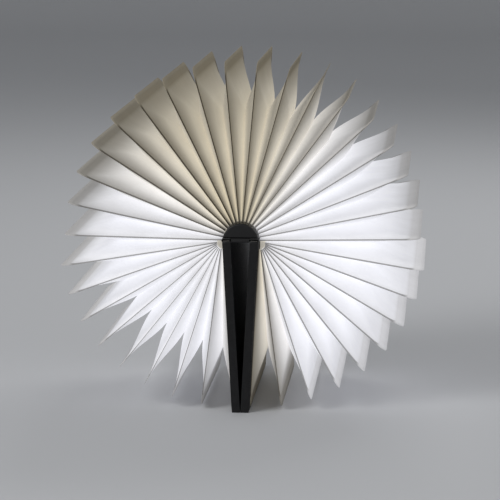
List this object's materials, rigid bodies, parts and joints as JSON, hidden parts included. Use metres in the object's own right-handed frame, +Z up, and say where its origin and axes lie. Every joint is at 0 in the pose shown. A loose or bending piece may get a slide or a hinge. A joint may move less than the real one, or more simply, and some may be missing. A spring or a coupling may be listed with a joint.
{
  "type": "book lamp",
  "caption": "Folding lamp shaped as a small hardcover book, opened right round on its covers' edges, with a round fan of folded paper leaves about a light bar.",
  "frame": {"origin": "on the table, midway between the two covers that the lamp stands on, under the middle of the spine", "axes": "+Z up, +Y along the spine towards the end with the charging socket, +X to the right in the picture"},
  "size_m": [0.1962, 0.122, 0.1892],
  "materials": {
    "leaf_paper": "matte, lit from inside",
    "cover_leatherette": "fine-grained, matte",
    "grey_board": "dense pressed board",
    "spine_board": "dense pressed board, dyed through",
    "lining_paper": "smooth",
    "hinge_cloth": "woven book cloth",
    "bar_plastic": "satin",
    "diffuser": "frosted",
    "led_board": "white solder mask",
    "leds": "phosphor",
    "cell_foil": "pouch foil",
    "lead_insulation": "smooth",
    "circuit_board": "solder mask",
    "socket_shell": "drawn shell",
    "switch_glass": "clear",
    "magnet_nickel": "nickel plated"
  },
  "bodies": {
    "spine": {"spine_skin": "cover_leatherette", "spine_board": "spine_board", "front_hinge_cloth": "hinge_cloth", "back_hinge_cloth": "hinge_cloth", "bar_housing": "bar_plastic", "lens_diffuser": "diffuser", "head_cap": "bar_plastic", "tail_cap": "bar_plastic", "led_board": "led_board", "leds": "leds", "battery_cell": "cell_foil", "battery_leads": "lead_insulation", "charge_board": "circuit_board", "usb_socket": "socket_shell", "reed_switch": "switch_glass"},
    "front_cover": {"front_cover_wrap": "cover_leatherette", "front_cover_board": "grey_board", "front_lining": "lining_paper", "front_magnets": "magnet_nickel", "front_end_leaf": "leaf_paper", "switch_magnet": "magnet_nickel"},
    "back_cover": {"back_cover_wrap": "cover_leatherette", "back_cover_board": "grey_board", "back_lining": "lining_paper", "back_magnets": "magnet_nickel", "back_end_leaf": "leaf_paper"},
    "leaf_l01": {"leaf_l01": "leaf_paper"},
    "leaf_l02": {"leaf_l02": "leaf_paper"},
    "leaf_l03": {"leaf_l03": "leaf_paper"},
    "leaf_l04": {"leaf_l04": "leaf_paper"},
    "leaf_l05": {"leaf_l05": "leaf_paper"},
    "leaf_l06": {"leaf_l06": "leaf_paper"},
    "leaf_l07": {"leaf_l07": "leaf_paper"},
    "leaf_l08": {"leaf_l08": "leaf_paper"},
    "leaf_l09": {"leaf_l09": "leaf_paper"},
    "leaf_l10": {"leaf_l10": "leaf_paper"},
    "leaf_l11": {"leaf_l11": "leaf_paper"},
    "leaf_l12": {"leaf_l12": "leaf_paper"},
    "leaf_l13": {"leaf_l13": "leaf_paper"},
    "leaf_l14": {"leaf_l14": "leaf_paper"},
    "leaf_l15": {"leaf_l15": "leaf_paper"},
    "leaf_l16": {"leaf_l16": "leaf_paper"},
    "leaf_l17": {"leaf_l17": "leaf_paper"},
    "leaf_r01": {"leaf_r01": "leaf_paper"},
    "leaf_r02": {"leaf_r02": "leaf_paper"},
    "leaf_r03": {"leaf_r03": "leaf_paper"},
    "leaf_r04": {"leaf_r04": "leaf_paper"},
    "leaf_r05": {"leaf_r05": "leaf_paper"},
    "leaf_r06": {"leaf_r06": "leaf_paper"},
    "leaf_r07": {"leaf_r07": "leaf_paper"},
    "leaf_r08": {"leaf_r08": "leaf_paper"},
    "leaf_r09": {"leaf_r09": "leaf_paper"},
    "leaf_r10": {"leaf_r10": "leaf_paper"},
    "leaf_r11": {"leaf_r11": "leaf_paper"},
    "leaf_r12": {"leaf_r12": "leaf_paper"},
    "leaf_r13": {"leaf_r13": "leaf_paper"},
    "leaf_r14": {"leaf_r14": "leaf_paper"},
    "leaf_r15": {"leaf_r15": "leaf_paper"},
    "leaf_r16": {"leaf_r16": "leaf_paper"},
    "leaf_r17": {"leaf_r17": "leaf_paper"}
  },
  "joints": [
    {"name": "front_cover_hinge", "type": "hinge", "parent": "spine", "child": "front_cover", "pos_m": [-0.0102, 0, 0.095], "axis": [0, 1, 0], "range_deg": [0, 183.13], "deforming": ["front_end_leaf", "front_hinge_cloth"]},
    {"name": "back_cover_hinge", "type": "hinge", "parent": "spine", "child": "back_cover", "pos_m": [0.0102, 0, 0.095], "axis": [0, -1, 0], "range_deg": [0, 183.13], "deforming": ["back_end_leaf", "back_hinge_cloth"]},
    {"name": "leaf_l01_hinge", "type": "hinge", "parent": "spine", "child": "leaf_l01", "pos_m": [-0.00018, 0, 0.09653], "axis": [0, 1, 0], "range_deg": [0, 5.25], "deforming": ["leaf_l01"]},
    {"name": "leaf_l02_hinge", "type": "hinge", "parent": "spine", "child": "leaf_l02", "pos_m": [-0.00054, 0, 0.0965], "axis": [0, 1, 0], "range_deg": [0, 15.72], "deforming": ["leaf_l02"]},
    {"name": "leaf_l03_hinge", "type": "hinge", "parent": "spine", "child": "leaf_l03", "pos_m": [-0.0009, 0, 0.09643], "axis": [0, 1, 0], "range_deg": [0, 26.18], "deforming": ["leaf_l03"]},
    {"name": "leaf_l04_hinge", "type": "hinge", "parent": "spine", "child": "leaf_l04", "pos_m": [-0.00126, 0, 0.09634], "axis": [0, 1, 0], "range_deg": [0, 36.65], "deforming": ["leaf_l04"]},
    {"name": "leaf_l05_hinge", "type": "hinge", "parent": "spine", "child": "leaf_l05", "pos_m": [-0.00161, 0, 0.0962], "axis": [0, 1, 0], "range_deg": [0, 47.11], "deforming": ["leaf_l05"]},
    {"name": "leaf_l06_hinge", "type": "hinge", "parent": "spine", "child": "leaf_l06", "pos_m": [-0.00196, 0, 0.09604], "axis": [0, 1, 0], "range_deg": [0, 57.58], "deforming": ["leaf_l06"]},
    {"name": "leaf_l07_hinge", "type": "hinge", "parent": "spine", "child": "leaf_l07", "pos_m": [-0.0023, 0, 0.09584], "axis": [0, 1, 0], "range_deg": [0, 68.04], "deforming": ["leaf_l07"]},
    {"name": "leaf_l08_hinge", "type": "hinge", "parent": "spine", "child": "leaf_l08", "pos_m": [-0.00263, 0, 0.0956], "axis": [0, 1, 0], "range_deg": [0, 78.5], "deforming": ["leaf_l08"]},
    {"name": "leaf_l09_hinge", "type": "hinge", "parent": "spine", "child": "leaf_l09", "pos_m": [-0.00296, 0, 0.09533], "axis": [0, 1, 0], "range_deg": [0, 88.97], "deforming": ["leaf_l09"]},
    {"name": "leaf_l10_hinge", "type": "hinge", "parent": "spine", "child": "leaf_l10", "pos_m": [-0.00503, 0, 0.09375], "axis": [0, 1, 0], "range_deg": [0, 99.44], "deforming": ["leaf_l10"]},
    {"name": "leaf_l11_hinge", "type": "hinge", "parent": "spine", "child": "leaf_l11", "pos_m": [-0.00602, 0, 0.09397], "axis": [0, 1, 0], "range_deg": [0, 109.9], "deforming": ["leaf_l11"]},
    {"name": "leaf_l12_hinge", "type": "hinge", "parent": "spine", "child": "leaf_l12", "pos_m": [-0.00687, 0, 0.09405], "axis": [0, 1, 0], "range_deg": [0, 120.36], "deforming": ["leaf_l12"]},
    {"name": "leaf_l13_hinge", "type": "hinge", "parent": "spine", "child": "leaf_l13", "pos_m": [-0.00762, 0, 0.094], "axis": [0, 1, 0], "range_deg": [0, 130.83], "deforming": ["leaf_l13"]},
    {"name": "leaf_l14_hinge", "type": "hinge", "parent": "spine", "child": "leaf_l14", "pos_m": [-0.00828, 0, 0.09384], "axis": [0, 1, 0], "range_deg": [0, 141.29], "deforming": ["leaf_l14"]},
    {"name": "leaf_l15_hinge", "type": "hinge", "parent": "spine", "child": "leaf_l15", "pos_m": [-0.00885, 0, 0.09358], "axis": [0, 1, 0], "range_deg": [0, 151.76], "deforming": ["leaf_l15"]},
    {"name": "leaf_l16_hinge", "type": "hinge", "parent": "spine", "child": "leaf_l16", "pos_m": [-0.00933, 0, 0.0932], "axis": [0, 1, 0], "range_deg": [0, 162.22], "deforming": ["leaf_l16"]},
    {"name": "leaf_l17_hinge", "type": "hinge", "parent": "spine", "child": "leaf_l17", "pos_m": [-0.00971, 0, 0.09268], "axis": [0, 1, 0], "range_deg": [0, 172.69], "deforming": ["leaf_l17"]},
    {"name": "leaf_r01_hinge", "type": "hinge", "parent": "spine", "child": "leaf_r01", "pos_m": [0.00018, 0, 0.09653], "axis": [0, -1, 0], "range_deg": [0, 5.25], "deforming": ["leaf_r01"]},
    {"name": "leaf_r02_hinge", "type": "hinge", "parent": "spine", "child": "leaf_r02", "pos_m": [0.00054, 0, 0.0965], "axis": [0, -1, 0], "range_deg": [0, 15.72], "deforming": ["leaf_r02"]},
    {"name": "leaf_r03_hinge", "type": "hinge", "parent": "spine", "child": "leaf_r03", "pos_m": [0.0009, 0, 0.09643], "axis": [0, -1, 0], "range_deg": [0, 26.18], "deforming": ["leaf_r03"]},
    {"name": "leaf_r04_hinge", "type": "hinge", "parent": "spine", "child": "leaf_r04", "pos_m": [0.00126, 0, 0.09634], "axis": [0, -1, 0], "range_deg": [0, 36.65], "deforming": ["leaf_r04"]},
    {"name": "leaf_r05_hinge", "type": "hinge", "parent": "spine", "child": "leaf_r05", "pos_m": [0.00161, 0, 0.0962], "axis": [0, -1, 0], "range_deg": [0, 47.11], "deforming": ["leaf_r05"]},
    {"name": "leaf_r06_hinge", "type": "hinge", "parent": "spine", "child": "leaf_r06", "pos_m": [0.00196, 0, 0.09604], "axis": [0, -1, 0], "range_deg": [0, 57.58], "deforming": ["leaf_r06"]},
    {"name": "leaf_r07_hinge", "type": "hinge", "parent": "spine", "child": "leaf_r07", "pos_m": [0.0023, 0, 0.09584], "axis": [0, -1, 0], "range_deg": [0, 68.04], "deforming": ["leaf_r07"]},
    {"name": "leaf_r08_hinge", "type": "hinge", "parent": "spine", "child": "leaf_r08", "pos_m": [0.00263, 0, 0.0956], "axis": [0, -1, 0], "range_deg": [0, 78.5], "deforming": ["leaf_r08"]},
    {"name": "leaf_r09_hinge", "type": "hinge", "parent": "spine", "child": "leaf_r09", "pos_m": [0.00296, 0, 0.09533], "axis": [0, -1, 0], "range_deg": [0, 88.97], "deforming": ["leaf_r09"]},
    {"name": "leaf_r10_hinge", "type": "hinge", "parent": "spine", "child": "leaf_r10", "pos_m": [0.00503, 0, 0.09375], "axis": [0, -1, 0], "range_deg": [0, 99.44], "deforming": ["leaf_r10"]},
    {"name": "leaf_r11_hinge", "type": "hinge", "parent": "spine", "child": "leaf_r11", "pos_m": [0.00602, 0, 0.09397], "axis": [0, -1, 0], "range_deg": [0, 109.9], "deforming": ["leaf_r11"]},
    {"name": "leaf_r12_hinge", "type": "hinge", "parent": "spine", "child": "leaf_r12", "pos_m": [0.00687, 0, 0.09405], "axis": [0, -1, 0], "range_deg": [0, 120.36], "deforming": ["leaf_r12"]},
    {"name": "leaf_r13_hinge", "type": "hinge", "parent": "spine", "child": "leaf_r13", "pos_m": [0.00762, 0, 0.094], "axis": [0, -1, 0], "range_deg": [0, 130.83], "deforming": ["leaf_r13"]},
    {"name": "leaf_r14_hinge", "type": "hinge", "parent": "spine", "child": "leaf_r14", "pos_m": [0.00828, 0, 0.09384], "axis": [0, -1, 0], "range_deg": [0, 141.29], "deforming": ["leaf_r14"]},
    {"name": "leaf_r15_hinge", "type": "hinge", "parent": "spine", "child": "leaf_r15", "pos_m": [0.00885, 0, 0.09358], "axis": [0, -1, 0], "range_deg": [0, 151.76], "deforming": ["leaf_r15"]},
    {"name": "leaf_r16_hinge", "type": "hinge", "parent": "spine", "child": "leaf_r16", "pos_m": [0.00933, 0, 0.0932], "axis": [0, -1, 0], "range_deg": [0, 162.22], "deforming": ["leaf_r16"]},
    {"name": "leaf_r17_hinge", "type": "hinge", "parent": "spine", "child": "leaf_r17", "pos_m": [0.00971, 0, 0.09268], "axis": [0, -1, 0], "range_deg": [0, 172.69], "deforming": ["leaf_r17"]}
  ],
  "couplings": [
    {"joint": "leaf_l01_hinge", "follows": "front_cover_hinge", "ratio": 0.028571},
    {"joint": "leaf_l02_hinge", "follows": "front_cover_hinge", "ratio": 0.085714},
    {"joint": "leaf_l03_hinge", "follows": "front_cover_hinge", "ratio": 0.14286},
    {"joint": "leaf_l04_hinge", "follows": "front_cover_hinge", "ratio": 0.2},
    {"joint": "leaf_l05_hinge", "follows": "front_cover_hinge", "ratio": 0.25714},
    {"joint": "leaf_l06_hinge", "follows": "front_cover_hinge", "ratio": 0.31429},
    {"joint": "leaf_l07_hinge", "follows": "front_cover_hinge", "ratio": 0.37143},
    {"joint": "leaf_l08_hinge", "follows": "front_cover_hinge", "ratio": 0.42857},
    {"joint": "leaf_l09_hinge", "follows": "front_cover_hinge", "ratio": 0.48571},
    {"joint": "leaf_l10_hinge", "follows": "front_cover_hinge", "ratio": 0.54286},
    {"joint": "leaf_l11_hinge", "follows": "front_cover_hinge", "ratio": 0.6},
    {"joint": "leaf_l12_hinge", "follows": "front_cover_hinge", "ratio": 0.65714},
    {"joint": "leaf_l13_hinge", "follows": "front_cover_hinge", "ratio": 0.71429},
    {"joint": "leaf_l14_hinge", "follows": "front_cover_hinge", "ratio": 0.77143},
    {"joint": "leaf_l15_hinge", "follows": "front_cover_hinge", "ratio": 0.82857},
    {"joint": "leaf_l16_hinge", "follows": "front_cover_hinge", "ratio": 0.88571},
    {"joint": "leaf_l17_hinge", "follows": "front_cover_hinge", "ratio": 0.94286},
    {"joint": "leaf_r01_hinge", "follows": "back_cover_hinge", "ratio": 0.028571},
    {"joint": "leaf_r02_hinge", "follows": "back_cover_hinge", "ratio": 0.085714},
    {"joint": "leaf_r03_hinge", "follows": "back_cover_hinge", "ratio": 0.14286},
    {"joint": "leaf_r04_hinge", "follows": "back_cover_hinge", "ratio": 0.2},
    {"joint": "leaf_r05_hinge", "follows": "back_cover_hinge", "ratio": 0.25714},
    {"joint": "leaf_r06_hinge", "follows": "back_cover_hinge", "ratio": 0.31429},
    {"joint": "leaf_r07_hinge", "follows": "back_cover_hinge", "ratio": 0.37143},
    {"joint": "leaf_r08_hinge", "follows": "back_cover_hinge", "ratio": 0.42857},
    {"joint": "leaf_r09_hinge", "follows": "back_cover_hinge", "ratio": 0.48571},
    {"joint": "leaf_r10_hinge", "follows": "back_cover_hinge", "ratio": 0.54286},
    {"joint": "leaf_r11_hinge", "follows": "back_cover_hinge", "ratio": 0.6},
    {"joint": "leaf_r12_hinge", "follows": "back_cover_hinge", "ratio": 0.65714},
    {"joint": "leaf_r13_hinge", "follows": "back_cover_hinge", "ratio": 0.71429},
    {"joint": "leaf_r14_hinge", "follows": "back_cover_hinge", "ratio": 0.77143},
    {"joint": "leaf_r15_hinge", "follows": "back_cover_hinge", "ratio": 0.82857},
    {"joint": "leaf_r16_hinge", "follows": "back_cover_hinge", "ratio": 0.88571},
    {"joint": "leaf_r17_hinge", "follows": "back_cover_hinge", "ratio": 0.94286}
  ]
}
